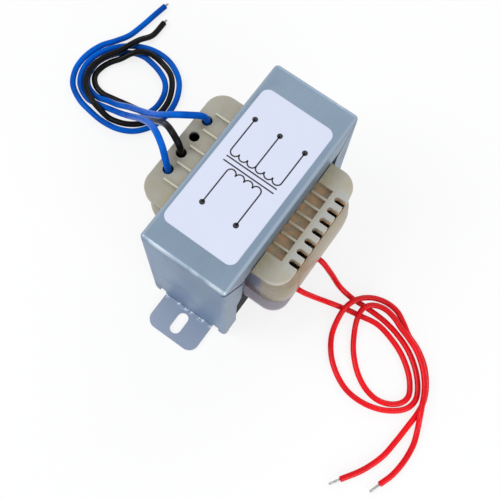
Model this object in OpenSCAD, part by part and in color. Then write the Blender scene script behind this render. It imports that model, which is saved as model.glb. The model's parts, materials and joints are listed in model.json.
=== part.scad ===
// Laminated chassis transformer: an EI core in a folded channel bracket, with flying leads.
// X runs along the core, Y through the stack, Z up. The feet stand on z = 0.
// The front (-Y) has the input leads, the back (+Y) the output leads.

/* [Core] */
// Length of the laminations
core_l = 66; // [54:1:80]
// Thickness of the lamination stack
stack_t = 28; // [22:1:36]
// Thickness of one lamination
lam_t = 0.5; // [0.5:0.1:1]
// Diameter of the corner holes in the laminations
lam_hole_d = 4.5; // [3:0.1:6]

/* [Bracket] */
// Thickness of the steel sheet
sheet_t = 1; // [0.8:0.1:1.5]
// Inner radius of the bends
bend_r = 0.4; // [0.2:0.05:0.5]
// Gap between the sheet and the core
frame_fit = 0.15; // [0.15:0.05:0.3]
// Depth of the skirts over the long sides
skirt_h = 11.4; // [8:0.1:14]
// Length of the slope at each end of a skirt
skirt_slope = 6.5; // [3:0.1:9]
// Width of the slit between a skirt's end and a side flange
slit_w = 0.8; // [0.5:0.1:1.5]
// Width of the side flanges round the core's ends
side_flange_w = 6.5; // [5.5:0.1:8]
// Width of the lobe at the top of a side flange
lobe_w = 2.4; // [1:0.1:4]
// Height of the lobe's inner edge
lobe_h = 16; // [10:0.5:20]
// Reach of the claws under the core
claw_reach = 3; // [2:0.1:5]
// Height of the notches beside each foot
notch_h = 5; // [3:0.1:8]

/* [Feet] */
// Length of a foot beyond the end wall
foot_l = 11.85; // [10:0.05:16]
// Width of a foot
foot_w = 19.6; // [16:0.1:22]
// Corner radius of a foot
foot_r = 3.5; // [1:0.1:5]
// Length of the mounting slot, end to end
slot_l = 8; // [5:0.1:9]
// Width of the mounting slot
slot_w = 4; // [3:0.1:5]
// Distance from a foot's end to the middle of its slot
slot_inset = 6.1; // [5.5:0.1:7]

/* [Label] */
// Length of the label
label_l = 50.4; // [30:0.1:60]
// Width of the label
label_w = 24.6; // [15:0.1:26]
// Corner radius of the label
label_r = 2.8; // [1:0.1:4]
// Thickness of the label
label_t = 0.1; // [0.1:0.05:0.3]

/* [Bobbin] */
// Wall of the bobbin's tube
tube_wall = 1; // [0.8:0.1:1.5]
// Gap between the bobbin and the core
bobbin_fit = 0.2; // [0.1:0.05:0.4]
// Gap between the flanges and the outer legs
flange_gap = 1; // [0.5:0.1:1.5]
// Thickness of the flanges
flange_t = 1.2; // [0.9:0.1:1.6]
// Corner radius of the flanges
flange_r = 6; // [3:0.5:8]
// Reach of the front deck beyond the stack
front_reach = 12; // [11:0.1:15]
// Reach of the back deck beyond the stack
back_reach = 13.5; // [12:0.1:16]
// Reach of the lower flange beyond the stack
lower_reach = 13; // [12:0.1:15]
// Height of the decks above the flange in the window
deck_rise = 1.9; // [1.4:0.1:2.5]
// Thickness of the cell and back ribs
rib_t = 0.7; // [0.5:0.1:1]
// Pitch of the comb's notches
comb_pitch = 4; // [3.2:0.1:4.5]
// Number of notches in the comb
comb_count = 7; // [5:1:8]
// Width of a notch
notch_w = 2; // [1.4:0.1:2.4]
// Depth of a notch
notch_d = 3.5; // [2.5:0.1:4]
// Depth of the cells behind the comb
cell_l = 5.4; // [4:0.1:6]
// Pitch of the lead holes in the back deck
hole_pitch = 6.65; // [5:0.05:8]
// Diameter of the lead holes
hole_d = 3.4; // [2.8:0.1:4]
// Height of the back ribs
back_rib_h = 0.8; // [0.4:0.1:1.2]
// Length of the back ribs
back_rib_l = 7; // [4:0.1:8]

/* [Windings] */
// Build of the primary
primary_t = 2.9; // [1.5:0.1:3]
// Build of one half of the secondary
secondary_t = 1.2; // [0.8:0.1:1.3]
// Thickness of the tape between the windings
tape_t = 0.25; // [0.1:0.05:0.3]
// Thickness of the outer wrap
wrap_t = 0.3; // [0.2:0.05:0.5]
// Bulge of the coil beside the legs
bulge_x = 1.3; // [0.5:0.1:1.5]
// Bulge of the wrap at the front and back
bulge_y = 1.7; // [1:0.1:2.4]
// Thickness of the pads under the lead joints
pad_t = 0.4; // [0.2:0.1:0.6]

/* [Leads] */
// Diameter of the input leads
input_d = 2; // [1.6:0.1:2]
// Diameter of the output leads
output_d = 2.2; // [1.8:0.1:2.2]
// Diameter of the tinned ends
tip_d = 0.9; // [0.6:0.1:1.2]
// Length of the tinned ends
tip_l = 4; // [2:0.5:8]

/* [Hidden] */
$fn = 48;

// Scrapless EI laminations: the I strips are punched from the windows of the E,
// so every limb is a sixth of the length.
limb = core_l / 6;
core_h = 5 * limb;
window_h = 3 * limb;
layers = floor(stack_t / lam_t);
stack_w = layers * lam_t;
core_z = sheet_t + frame_fit;
window_z = core_z + limb;
window_top = window_z + window_h;
core_top = core_z + core_h;

// Outer size of the bracket without its feet
frame_l = core_l + 2 * (frame_fit + sheet_t);
frame_w = stack_w + 2 * (frame_fit + sheet_t);
frame_h = core_top + frame_fit + sheet_t;
fold_r = bend_r + sheet_t;
fold_x = frame_l / 2 - fold_r;
fold_y = frame_w / 2 - fold_r;
fold_z = frame_h - fold_r;
flange_x = frame_l / 2 - side_flange_w;
tooth_z = 0.2;
tooth_w = 1.3;
claw_gap = 0.4;
claw_gap_h = 1.5;
lobe_fall = 4;
lobe_x = flange_x - lobe_w;
edge_r = 2.5;
skirt_r = 3;
notch_r = 1;
slot_x = frame_l / 2 + foot_l - slot_inset;

// Bobbin
flange_hx = 3 * limb - flange_gap - limb;
tube_hx = limb + bobbin_fit + tube_wall;
tube_hy = stack_w / 2 + bobbin_fit + tube_wall;
tube_r = 0.8;
bobbin_z = window_z + bobbin_fit;
bobbin_top = window_top - bobbin_fit;
chamber_z = bobbin_z + flange_t;
chamber_top = bobbin_top - flange_t;
deck_top = bobbin_top + deck_rise;
deck_gap = 0.3;
deck_in = frame_w / 2 + deck_gap;
front_y = stack_w / 2 + front_reach;
back_y = stack_w / 2 + back_reach;
lower_y = stack_w / 2 + lower_reach;
comb_hx = comb_count * comb_pitch / 2;
hole_inset = 3.7;
hole_y = back_y - hole_inset;
core_wall = 1.2;
rib_gap = 0.4;

// Coil: half sizes and corner radius of each layer's outside
layer_gap = 0.05;
bulge_gap = 0.12;
turn_gap = 0.1;
bow = 1.15;
primary_o = [tube_hx + primary_t, tube_hy + bow * primary_t, tube_r + primary_t];
tape_1_o = primary_o + [1, 1, 1] * (tape_t + layer_gap);
secondary_1_o = tape_1_o + [1, bow, 1] * secondary_t;
tape_2_o = secondary_1_o + [1, 1, 1] * (tape_t + layer_gap);
secondary_2_o = tape_2_o + [1, bow, 1] * secondary_t;
lead_y = hole_y;
lead_gap = 0.2;
wrap_r = 6;
wrap_i = [secondary_2_o.x + layer_gap, back_y - core_wall - wrap_t - layer_gap, wrap_r];
pad_y = secondary_2_o.y + layer_gap;

// Joints: a solder sleeve on the pad and a bare stub that meets the lead's end
joint_r = 0.8;
joint_l = 8;
stub_r = 0.45;
input_rise = 1.15;
input_z = chamber_z + input_rise;
input_x = [3, -9.5];
input_start = 24.4;
joint_gap = 0.05;
input_joint_y = pad_y + pad_t + joint_r + joint_gap;
output_x = [-1.5 * hole_pitch, -0.5 * hole_pitch, 1.5 * hole_pitch];
output_start = 33;
output_stub_l = 2;

// Pads: half width, corner radius and reach past the joints
pad_hx = 12;
pad_r = 2;
pad_over = 2;
pad_under = 0.6;

// Lead routes: centre lines from the joint to the end of the insulation
red_1_route = [
    [3, -24.4, 14.7], [3, -28.4, 14.7], [2.9, -33, 9.6], [2.6, -37.8, 3.4], [2.4, -43.4, 1.05],
    [2.5, -50, 1.05], [2.2, -57, 1.05], [0.7, -63.6, 1.05], [-2, -69.8, 1.05], [-6, -75, 1.05],
    [-10.4, -78.6, 1.05], [-14.4, -80.2, 1.05], [-18.2, -79.4, 1.05], [-21.4, -76.5, 1.05],
    [-24.2, -71.6, 1.05], [-25.6, -65.6, 1.05], [-25.2, -59.4, 1.05], [-22.6, -53.6, 1.05],
    [-18.4, -48.6, 1.05], [-12.8, -45, 1.05], [-7, -43.5, 2], [-2, -43.4, 3.3], [2.6, -45.2, 3.4],
    [6.1, -48.9, 2.6], [8, -53.6, 1.3], [7.8, -58.4, 1.05], [5.6, -62.6, 1.05], [2.9, -66.6, 1.05],
    [0.8, -71.4, 1.05], [-2.6, -76.2, 1.05], [-7.2, -80, 1.05], [-12.4, -82.5, 1.05],
    [-17.6, -83.1, 1.05], [-23.4, -82.7, 1.05], [-30, -82.1, 1.05], [-36.6, -81.1, 1.05],
    [-43.8, -78.2, 1.05], [-50.6, -73.8, 1.05]
];
red_2_route = [
    [-9.5, -24.4, 14.7], [-9.5, -28.4, 14.7], [-7.4, -32.4, 9.8], [-4.4, -37.2, 3.4], [-2.4, -42.6, 1.05],
    [-1.2, -49, 1.05], [-0.2, -55.6, 1.05], [-1.5, -61.8, 1.05], [-4, -67.8, 1.05], [-7.8, -73, 1.05],
    [-11.6, -76.2, 1.05], [-15, -77.6, 1.05], [-18.2, -76.6, 1.05], [-20.8, -73.4, 1.05],
    [-21.9, -69, 1.05], [-20.9, -64, 1.05], [-17.8, -58.8, 1.05], [-12.8, -54, 1.05],
    [-7.2, -50.6, 1.7], [-2.6, -48.7, 3.2], [1.2, -48.6, 3.5], [4, -50.8, 3.4], [5.2, -54.6, 3.3],
    [4.6, -58.8, 3.3], [2.9, -62.8, 3.3], [1.5, -66.8, 3.3], [-0.6, -71.4, 3.3], [-3.8, -75.6, 3.3],
    [-7.8, -79.1, 3.3], [-11.8, -81.4, 3.3], [-15.4, -82.8, 3.4], [-18.8, -84.2, 3.1],
    [-22.4, -86, 1.2], [-27.4, -87.5, 1.05], [-33.4, -87.8, 1.05], [-39.4, -87, 1.05],
    [-44.4, -85.2, 1.05]
];
blue_1_route = [
    [10, 23.8, 33], [10, 23.8, 42], [10, 23.8, 46.6], [8.9, 24.8, 50.2], [6.2, 27.6, 52],
    [4, 32, 50.6], [3.6, 37.8, 44], [4.8, 43.5, 36], [6.8, 49.6, 27.4], [8.8, 57.6, 17.4],
    [10.2, 65.4, 8], [11, 71, 3], [10.5, 76, 1.15], [11.6, 80.6, 1.15], [14.6, 83.7, 1.15],
    [18.8, 84.8, 1.15], [23, 84.5, 1.15], [27.2, 82.5, 1.15], [30.5, 79.8, 1.15], [33, 76, 1.15],
    [34, 72.2, 1.15], [33.7, 68.4, 1.15], [32.7, 64.2, 1.15], [30.8, 60.2, 1.15], [28.2, 57.7, 1.15],
    [24.6, 56.2, 1.15], [20.4, 55.8, 1.15], [16.4, 56.6, 1.15]
];
blue_2_route = [
    [-10, 23.8, 33], [-10, 23.8, 42], [-10, 23.8, 46.6], [-9.2, 25, 50.2], [-6.8, 28, 52],
    [-3.8, 32.6, 50.6], [-0.8, 38, 45], [2, 44.6, 35.5], [5, 53, 22], [7.6, 60.6, 10.4],
    [9.1, 67.4, 2.8], [8.4, 73.4, 1.15], [7.9, 78.6, 1.15], [11, 84.4, 1.15], [17, 87.4, 1.15],
    [24, 87.1, 1.15], [30.6, 83.4, 1.15], [35.6, 77.6, 1.15], [38.3, 70.6, 1.15], [38, 63, 1.15],
    [34.2, 56, 1.15], [28, 52, 1.15], [21, 50.7, 1.15], [14, 51.9, 1.15], [8, 56, 1.15],
    [4.8, 61.8, 1.15], [3.9, 68.4, 1.15], [4.5, 74.6, 1.15], [5.8, 80.6, 1.15], [9.2, 86.4, 1.15],
    [15, 89.6, 1.15], [21.6, 90, 1.15], [28, 88.2, 1.15], [33.2, 84.8, 1.15], [38, 82.2, 1.15],
    [44, 80.9, 1.15], [50.4, 80, 1.15], [56.2, 79.1, 1.15]
];
black_route = [
    [-3.3, 23.8, 33], [-3.3, 23.8, 42], [-3.3, 23.8, 46.6], [-2.6, 25.2, 50.2], [-1, 29, 51.6],
    [0.9, 33, 48], [4, 39.4, 37], [7.4, 45.8, 25.6], [10.8, 52.2, 15], [13.4, 58.6, 6.8],
    [14.2, 64.4, 2.4], [13.6, 70, 1.15], [12.8, 75, 1.15], [13.8, 79.2, 1.15], [16.8, 82, 1.15],
    [20.8, 82.2, 1.15], [24.8, 80.8, 1.15], [28, 78.4, 1.7], [31.2, 76, 3.3], [34.1, 73.3, 3.7],
    [35.9, 69.6, 2.6], [35.8, 64.6, 1.15], [33.8, 59.4, 1.15], [29.6, 55.7, 1.15], [23.8, 53.4, 1.15],
    [17.6, 53.5, 1.15], [12, 55.9, 1.15], [8.2, 60.6, 1.15], [6.4, 66.4, 1.15], [6.6, 71.2, 2.6],
    [7.6, 75.6, 3.7], [9.8, 79.8, 3.7], [13.6, 83, 3.7], [19, 84.1, 3.7], [24.8, 82.6, 3.7],
    [29.6, 79.9, 3.8], [34, 78.3, 3.9], [38, 77, 3.2], [43.4, 75.1, 1.2], [50.2, 75, 1.15]
];
lead_sides = 8;
ring_step = 5.5;
stub_sides = 24;
hole_sides = 16;

// Reach of a cut past the face it opens
cut = 1;

// ---- Outlines ----

function unit(v) = v / norm(v);

// Points of the arc of radius r that rounds the corner b between a and c
function corner_arc(a, b, c, r, n = 6) =
    let (
        u = unit(a - b),
        v = unit(c - b),
        half = acos(u * v) / 2,
        centre = b + unit(u + v) * r / sin(half),
        from = b + u * r / tan(half) - centre,
        turn = (180 - 2 * half) * (cross(u, v) > 0 ? -1 : 1)
    )
    [
        for (i = [0:n])
            let (a = turn * i / n)
            centre + [from.x * cos(a) - from.y * sin(a), from.x * sin(a) + from.y * cos(a)]
    ];

// An outline from corners [x, y, radius]
function rounded(p) = [
    for (i = [0:len(p) - 1])
        let (
            a = p[(i + len(p) - 1) % len(p)],
            b = p[i],
            c = p[(i + 1) % len(p)]
        )
        each (b.z > 0 ? corner_arc([a.x, a.y], [b.x, b.y], [c.x, c.y], b.z) : [[b.x, b.y]])
];

// A rectangle from (x0, y0) to (x1, y1) with true round corners
module round_rect(x0, y0, x1, y1, r) {
    translate([x0 + r, y0]) square([x1 - x0 - 2 * r, y1 - y0]);
    translate([x0, y0 + r]) square([x1 - x0, y1 - y0 - 2 * r]);
    for (x = [x0 + r, x1 - r], y = [y0 + r, y1 - r])
        translate([x, y]) circle(r = r);
}

module centred_rect(size, r) {
    round_rect(-size.x, -size.y, size.x, size.y, r);
}

// Extrude along X, with the outline in Y and Z
module along_x(l) {
    rotate([90, 0, 90]) linear_extrude(l) children();
}

// Extrude along -Y, with the outline in X and Z
module along_y(l) {
    rotate([90, 0, 0]) linear_extrude(l) children();
}

module both_ends() {
    for (s = [0, 1]) mirror([s, 0, 0]) children();
}

module both_sides() {
    for (s = [0, 1]) mirror([0, s, 0]) children();
}

// ---- Bracket ----

// Section of a bend, in the first quadrant
module bend_section() {
    intersection() {
        difference() {
            circle(r = fold_r);
            circle(r = bend_r);
        }
        square(fold_r);
    }
}

// Top sheet with its bends to the ends and sides, and the drawn corners
module bracket_top() {
    translate([-fold_x, -fold_y, frame_h - sheet_t]) cube([2 * fold_x, 2 * fold_y, sheet_t]);
    both_ends() translate([fold_x, fold_y, fold_z]) along_y(2 * fold_y) bend_section();
    both_sides() translate([-fold_x, fold_y, fold_z]) along_x(2 * fold_x) bend_section();
    both_ends() both_sides() translate([fold_x, fold_y, fold_z]) intersection() {
        difference() {
            sphere(r = fold_r);
            sphere(r = bend_r);
        }
        cube(fold_r);
    }
}

// Skirt over the yoke, its ends sloped back to the corners
module skirt() {
    low = frame_h - skirt_h;
    slope_x = fold_x - skirt_slope;
    translate([0, frame_w / 2, 0]) along_y(sheet_t)
        polygon(rounded([
            [-slope_x, low, skirt_r], [slope_x, low, skirt_r], [fold_x, fold_z, 0], [-fold_x, fold_z, 0]
        ]));
}

// Height of a side flange's sloped top at x: the skirt's slope, lowered by the slit
function flange_top(x) =
    let (
        dx = skirt_slope,
        dz = skirt_h - fold_r
    )
    fold_z - (fold_x - x) * dz / dx - slit_w * norm([dx, dz]) / dx;

// Flange round an end leg: corner bend, face, and the claw under the core
module side_flange() {
    claw_w = fold_x - flange_x - tooth_w - claw_gap;
    lobe_z = flange_top(lobe_x) - lobe_h;
    translate([fold_x, fold_y, tooth_z]) linear_extrude(flange_top(fold_x) - tooth_z) bend_section();
    translate([0, frame_w / 2, 0]) along_y(sheet_t) difference() {
        polygon(rounded([
            [fold_x, tooth_z, 0],
            [fold_x, flange_top(fold_x), 0],
            [lobe_x, flange_top(lobe_x), edge_r],
            [lobe_x, lobe_z, edge_r],
            [flange_x, lobe_z - lobe_fall, edge_r],
            [flange_x, fold_r, 0],
            [flange_x + claw_w, fold_r, 0],
            [flange_x + claw_w, tooth_z, 0]
        ]));
        translate([flange_x + claw_w, 0]) square([claw_gap, fold_r + claw_gap_h]);
    }
    translate([flange_x, fold_y, fold_r]) along_x(claw_w) mirror([0, 1]) bend_section();
    translate([flange_x, fold_y - claw_reach, 0]) cube([claw_w, claw_reach, sheet_t]);
}

// End wall, notched beside the foot, with a tooth left at each corner
module end_wall() {
    notch_y0 = foot_w / 2;
    notch_y1 = fold_y - tooth_w;
    translate([frame_l / 2 - sheet_t, 0, 0]) along_x(sheet_t) difference() {
        translate([-fold_y, tooth_z]) square([2 * fold_y, fold_z - tooth_z]);
        translate([-foot_w / 2, 0]) square([foot_w, fold_r]);
        both_ends() polygon(rounded([
            [notch_y0, -cut, 0], [notch_y0, notch_h, notch_r],
            [notch_y1, notch_h, notch_r], [notch_y1, -cut, 0]
        ]));
    }
}

module slot_outline() {
    half = (slot_l - slot_w) / 2;
    translate([-half, -slot_w / 2]) square([2 * half, slot_w]);
    for (x = [-half, half]) translate([x, 0]) circle(d = slot_w);
}

// Foot with its bend from the end wall and its mounting slot
module foot() {
    foot_x0 = frame_l / 2 + bend_r;
    foot_x1 = frame_l / 2 + foot_l;
    translate([foot_x0, foot_w / 2, fold_r]) along_y(foot_w) rotate(180) bend_section();
    linear_extrude(sheet_t) difference() {
        polygon(rounded([
            [foot_x0, -foot_w / 2, 0], [foot_x1, -foot_w / 2, foot_r],
            [foot_x1, foot_w / 2, foot_r], [foot_x0, foot_w / 2, 0]
        ]));
        translate([slot_x, 0]) slot_outline();
    }
}

module bracket() color("lightsteelblue") {
    bracket_top();
    both_sides() skirt();
    both_ends() {
        end_wall();
        foot();
        both_sides() side_flange();
    }
}

module label() color("lavender")
    translate([0, 0, frame_h]) linear_extrude(label_t) centred_rect([label_l / 2, label_w / 2], label_r);

// ---- Core ----

module limb_holes(z) {
    for (s = [-1, 1]) translate([s * (core_l - limb) / 2, z]) circle(d = lam_hole_d);
}

// E lamination with its yoke at the bottom
module e_outline() {
    difference() {
        translate([-core_l / 2, 0]) square([core_l, 4 * limb]);
        for (x = [-2 * limb, limb]) translate([x, limb]) square([limb, window_h + cut]);
        limb_holes(limb / 2);
    }
}

module i_outline() {
    difference() {
        translate([-core_l / 2, 0]) square([core_l, limb]);
        limb_holes(limb / 2);
    }
}

// Every second layer of the stack, starting at the given one
module every_second_layer(first) {
    for (i = [first:2:layers - 1])
        translate([0, (i + 1) * lam_t - stack_w / 2, 0]) along_y(lam_t) children();
}

module e_laminations_yoke_down() color("dimgray")
    translate([0, 0, core_z]) every_second_layer(0) e_outline();

module e_laminations_yoke_up() color("gray")
    translate([0, 0, core_top]) every_second_layer(1) mirror([0, 1]) e_outline();

module i_laminations_top() color("gray")
    translate([0, 0, window_top]) every_second_layer(0) i_outline();

module i_laminations_bottom() color("dimgray")
    translate([0, 0, core_z]) every_second_layer(1) i_outline();

// ---- Bobbin ----

// Outline of the upper flange and its decks, drawn in by a margin
module upper_outline(margin = 0) {
    hx = flange_hx - margin;
    round_rect(-hx, margin - front_y, hx, back_y - margin, flange_r - margin);
}

module tube_opening() {
    centred_rect([limb + bobbin_fit, stack_w / 2 + bobbin_fit], tube_r / 2);
}

// The part of an outline in front of (s = -1) or behind (s = 1) the stack
module beyond(s, y) {
    intersection() {
        children();
        translate([-core_l, s > 0 ? y : -y - core_l]) square([2 * core_l, core_l]);
    }
}

// Pads at the deck's corners are cored from below, to keep an even wall
module corner_cores(s, x) {
    both_ends() intersection() {
        beyond(s, deck_in + core_wall) upper_outline(core_wall);
        translate([x, -core_l]) square([core_l, 2 * core_l]);
    }
}

module front_deck() {
    difference() {
        translate([0, 0, chamber_top]) linear_extrude(deck_top - chamber_top)
            beyond(-1, deck_in) upper_outline();
        for (i = [0:comb_count - 1]) translate([(i + 0.5) * comb_pitch - comb_hx, 0, 0]) {
            translate([(rib_t - comb_pitch) / 2, -deck_in - cell_l, bobbin_top])
                cube([comb_pitch - rib_t, cell_l + cut, deck_rise + cut]);
            translate([0, 0, chamber_top - cut]) linear_extrude(deck_top) notch_outline();
        }
        translate([0, 0, chamber_top - cut]) linear_extrude(deck_rise + cut)
            corner_cores(-1, comb_hx + rib_t / 2 + core_wall);
    }
}

// Comb notch: open at the deck's edge, round at its inner end
module notch_outline() {
    translate([0, notch_d - notch_w / 2 - front_y]) {
        circle(d = notch_w);
        translate([-notch_w / 2, -notch_d]) square([notch_w, notch_d]);
    }
}

// Back deck: a raised tray, open below, with the lead holes and low ribs
module back_deck() {
    plate_top = deck_top - back_rib_h / 2;
    difference() {
        union() {
            translate([0, 0, chamber_top]) linear_extrude(plate_top - chamber_top)
                beyond(1, deck_in) upper_outline();
            translate([0, 0, plate_top]) linear_extrude(back_rib_h) for (i = [-2:2])
                translate([i * hole_pitch - rib_t / 2, deck_in + rib_gap]) square([rib_t, back_rib_l]);
        }
        translate([0, 0, chamber_top - cut]) linear_extrude(plate_top - core_wall - chamber_top + cut)
            beyond(1, deck_in + core_wall) upper_outline(core_wall);
        for (i = [-1.5, -0.5, 0.5, 1.5]) translate([i * hole_pitch, hole_y, chamber_top - cut])
            cylinder(d = hole_d, h = deck_top - chamber_top + 2 * cut);
    }
}

module bobbin() color("ivory") difference() {
    union() {
        translate([0, 0, bobbin_z]) linear_extrude(bobbin_top - bobbin_z)
            centred_rect([tube_hx, tube_hy], tube_r);
        translate([0, 0, bobbin_z]) linear_extrude(flange_t)
            centred_rect([flange_hx, lower_y], flange_r);
        translate([0, 0, chamber_top]) linear_extrude(flange_t) difference() {
            upper_outline();
            beyond(1, deck_in + core_wall) upper_outline(core_wall);
            for (i = [0:comb_count - 1])
                translate([(i + 0.5) * comb_pitch - comb_hx, 0]) notch_outline();
            corner_cores(-1, comb_hx + rib_t / 2 + core_wall);
        }
        front_deck();
        back_deck();
    }
    translate([0, 0, bobbin_z - cut]) linear_extrude(bobbin_top - bobbin_z + 2 * cut) tube_opening();
}

// ---- Coil ----

// A straight layer of the coil between two outlines [half x, half y, corner radius]
module coil_layer(outer, inner) {
    h = chamber_top - chamber_z - 2 * turn_gap;
    translate([0, 0, chamber_z + turn_gap]) linear_extrude(h) difference() {
        centred_rect(outer, outer.z);
        centred_rect(inner, inner.z);
    }
}

// Points of a rounded rectangle [half x, half y, corner radius] swollen by [x, y]
function swollen(o, grow, z, n = 5) = [
    for (q = [0:3], i = [0:n])
        let (
            a = 90 * (q + i / n),
            sx = q == 0 || q == 3 ? 1 : -1,
            sy = q < 2 ? 1 : -1
        )
        [sx * (o.x + grow.x - o.z) + o.z * cos(a), sy * (o.y + grow.y - o.z) + o.z * sin(a), z]
];

// A layer of the coil that bulges at mid height: outer rings up, inner rings down
module bulged_layer(outer, outer_bulge, inner, inner_bulge, steps = 8) {
    z0 = chamber_z + turn_gap;
    z1 = chamber_top - turn_gap;
    function ring(o, bulge, t) = swollen(o, bulge * 4 * t * (1 - t), z0 + (z1 - z0) * t);
    rings = [
        for (i = [0:steps]) ring(outer, outer_bulge, i / steps),
        for (i = [steps:-1:0]) ring(inner, inner_bulge, i / steps)
    ];
    n = len(rings[0]);
    m = len(rings);
    polyhedron(
        points = [for (r = rings) each r],
        faces = [
            for (i = [0:m - 1], j = [0:n - 1])
                let (
                    a = i * n + j,
                    b = i * n + (j + 1) % n,
                    c = (i + 1) % m * n + (j + 1) % n,
                    d = (i + 1) % m * n + j
                )
                each [[a, c, b], [a, d, c]]
        ]
    );
}

function outside(o) = o + [1, 1, 1] * layer_gap;

module primary_winding() color("peru")
    coil_layer(primary_o, outside([tube_hx, tube_hy, tube_r]));

module primary_tape() color("gold")
    coil_layer(tape_1_o, outside(primary_o));

module secondary_winding_inner() color("peru")
    coil_layer(secondary_1_o, tape_1_o);

module secondary_tape() color("gold")
    coil_layer(tape_2_o, outside(secondary_1_o));

module secondary_winding_outer() color("peru")
    bulged_layer(secondary_2_o, [bulge_x, 0], tape_2_o + [1, 1, 1] * bulge_gap, [0, 0]);

// Outer wrap, with the two openings where the input leads come out under it
module outer_wrap() color("tan") difference() {
    bulged_layer(wrap_i + [1, 1, 1] * wrap_t, [bulge_x, bulge_y], wrap_i, [bulge_x, bulge_y]);
    for (x = input_x) translate([x, -lead_y, input_z]) along_y(lead_y)
        circle(d = input_d + 2 * lead_gap, $fn = hole_sides);
}

// Insulating pad on the winding's face, under the lead joints
module joint_pad(z0, z1) {
    translate([0, pad_y + pad_t, 0]) along_y(pad_t) round_rect(-pad_hx, z0, pad_hx, z1, pad_r);
}

module front_joint_pad() color("khaki")
    mirror([0, 1, 0]) joint_pad(input_z - pad_under, input_z + joint_l + pad_over);

module back_joint_pad() color("khaki")
    joint_pad(output_start - output_stub_l - joint_l - pad_over, output_start + pad_over);

// Solder sleeve along Z with rounded ends, its foot on the origin
module solder_sleeve(l) {
    cap = joint_r / 2;
    rotate_extrude() {
        square([joint_r - cap, l]);
        translate([0, cap]) square([joint_r, l - 2 * cap]);
        for (z = [cap, l - cap]) translate([joint_r - cap, z]) circle(r = cap);
    }
}

module input_joints() color("silver")
    for (x = input_x) translate([x, -input_joint_y, input_z - stub_r]) {
        solder_sleeve(joint_l);
        translate([0, 0, stub_r]) along_y(input_start - input_joint_y)
            circle(r = stub_r, $fn = stub_sides);
    }

module output_joints() color("silver")
    for (x = output_x) translate([x, lead_y, output_start - output_stub_l - joint_l]) {
        solder_sleeve(joint_l);
        cylinder(r = stub_r, h = joint_l + output_stub_l, $fn = stub_sides);
    }

// ---- Leads ----

// Point of a Catmull-Rom curve between b and c
function curve_point(a, b, c, d, t) =
    0.5 * (2 * b + (c - a) * t + (2 * a - 5 * b + 4 * c - d) * t * t + (3 * b - a - 3 * c + d) * t * t * t);

// Points along a route at about ring_step, none lower than the tube's radius
function along(p, r) =
    let (
        last = len(p) - 1,
        q = [2 * p[0] - p[1], each p, 2 * p[last] - p[last - 1]]
    )
    [
        for (i = [0:last - 1])
            let (n = ceil(norm(p[i + 1] - p[i]) / ring_step))
            for (k = [0:n - 1])
                let (c = curve_point(q[i], q[i + 1], q[i + 2], q[i + 3], k / n))
                [c.x, c.y, max(c.z, r)],
        p[last]
    ];

function tangents(p) = [
    for (i = [0:len(p) - 1]) unit(p[min(i + 1, len(p) - 1)] - p[max(i - 1, 0)])
];

// Normals carried along the route without twist
function normals(t, n, i = 0) =
    i == len(t) ? [] :
    let (m = unit(n - (n * t[i]) * t[i]))
    [m, each normals(t, m, i + 1)];

// Tube swept along points, with flat ends
module sweep(p, r) {
    t = tangents(p);
    side = abs(t[0].z) > 0.9 ? [1, 0, 0] : [0, 0, 1];
    n = normals(t, side);
    m = len(p);
    s = lead_sides;
    polyhedron(
        points = [
            for (i = [0:m - 1])
                let (b = cross(t[i], n[i]))
                for (k = [0:s - 1])
                    let (a = 360 * (k + 0.5) / s)
                    p[i] + r * (cos(a) * n[i] + sin(a) * b)
        ],
        faces = [
            [for (k = [0:s - 1]) k],
            [for (k = [s - 1:-1:0]) (m - 1) * s + k],
            for (i = [0:m - 2], k = [0:s - 1])
                let (
                    a = i * s + k,
                    b = i * s + (k + 1) % s
                )
                each [[a, a + s, b + s], [a, b + s, b]]
        ]
    );
}

module lead(route, d) {
    sweep(along(route, d / 2), d / 2);
}

// Tinned strands that stand out of the insulation at a route's end
module tip(route, d) {
    line = along(route, d / 2);
    last = len(line) - 1;
    dir = unit(line[last] - line[last - 1]);
    translate(line[last]) rotate([0, acos(dir.z), atan2(dir.y, dir.x)])
        cylinder(d = tip_d, h = tip_l, $fn = stub_sides);
}

module red_lead_1() color("red") lead(red_1_route, input_d);
module red_lead_2() color("red") lead(red_2_route, input_d);
module blue_lead_1() color("royalblue") lead(blue_1_route, output_d);
module blue_lead_2() color("royalblue") lead(blue_2_route, output_d);
module black_lead() color("black") lead(black_route, output_d);
module red_tip_1() color("silver") tip(red_1_route, input_d);
module red_tip_2() color("silver") tip(red_2_route, input_d);
module blue_tip_1() color("silver") tip(blue_1_route, output_d);
module blue_tip_2() color("silver") tip(blue_2_route, output_d);
module black_tip() color("silver") tip(black_route, output_d);

bracket();
label();
e_laminations_yoke_down();
e_laminations_yoke_up();
i_laminations_top();
i_laminations_bottom();
bobbin();
primary_winding();
primary_tape();
secondary_winding_inner();
secondary_tape();
secondary_winding_outer();
outer_wrap();
front_joint_pad();
back_joint_pad();
input_joints();
output_joints();
red_lead_1();
red_lead_2();
blue_lead_1();
blue_lead_2();
black_lead();
red_tip_1();
red_tip_2();
blue_tip_1();
blue_tip_2();
black_tip();
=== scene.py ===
"""Laminated chassis transformer: leads, label, finishes, floor and light, in metres."""
import json
import math

import bmesh
import bpy
from mathutils import Matrix, Quaternion, Vector


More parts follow.
